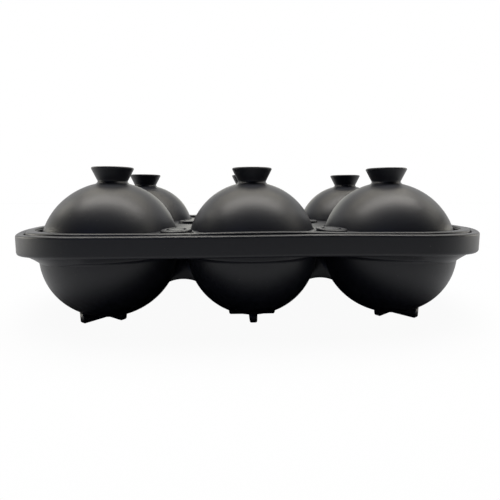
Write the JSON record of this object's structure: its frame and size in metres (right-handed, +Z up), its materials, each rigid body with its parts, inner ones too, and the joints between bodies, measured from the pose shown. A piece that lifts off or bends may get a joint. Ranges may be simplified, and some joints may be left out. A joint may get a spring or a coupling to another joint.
{
  "type": "ice ball mold",
  "caption": "Black silicone ice ball mold: a rimmed tray of round cups on crossed feet, closed by a lift-off lid whose domes carry flared filling spouts.",
  "frame": {"origin": "centre of the bounding box's bottom face, on the table under the feet", "axes": "+X along the long side, -Y towards the front, +Z up through the spouts"},
  "size_m": [0.2398, 0.1648, 0.08],
  "materials": {
    "base_silicone": "matte black silicone with a soft sheen",
    "lid_silicone": "matte black silicone with a soft sheen"
  },
  "bodies": {
    "base": {"base_tray": "base_silicone", "cup_webs": "base_silicone", "cup_front_left": "base_silicone", "cup_front_middle": "base_silicone", "cup_front_right": "base_silicone", "cup_rear_left": "base_silicone", "cup_rear_middle": "base_silicone", "cup_rear_right": "base_silicone"},
    "lid": {"lid_plate": "lid_silicone", "dome_front_left": "lid_silicone", "dome_front_middle": "lid_silicone", "dome_front_right": "lid_silicone", "dome_rear_left": "lid_silicone", "dome_rear_middle": "lid_silicone", "dome_rear_right": "lid_silicone"}
  },
  "joints": [
    {"name": "lid_lift", "type": "slide", "parent": "base", "child": "lid", "axis": [0, 0, 1], "range_m": [0, 0.08]}
  ]
}
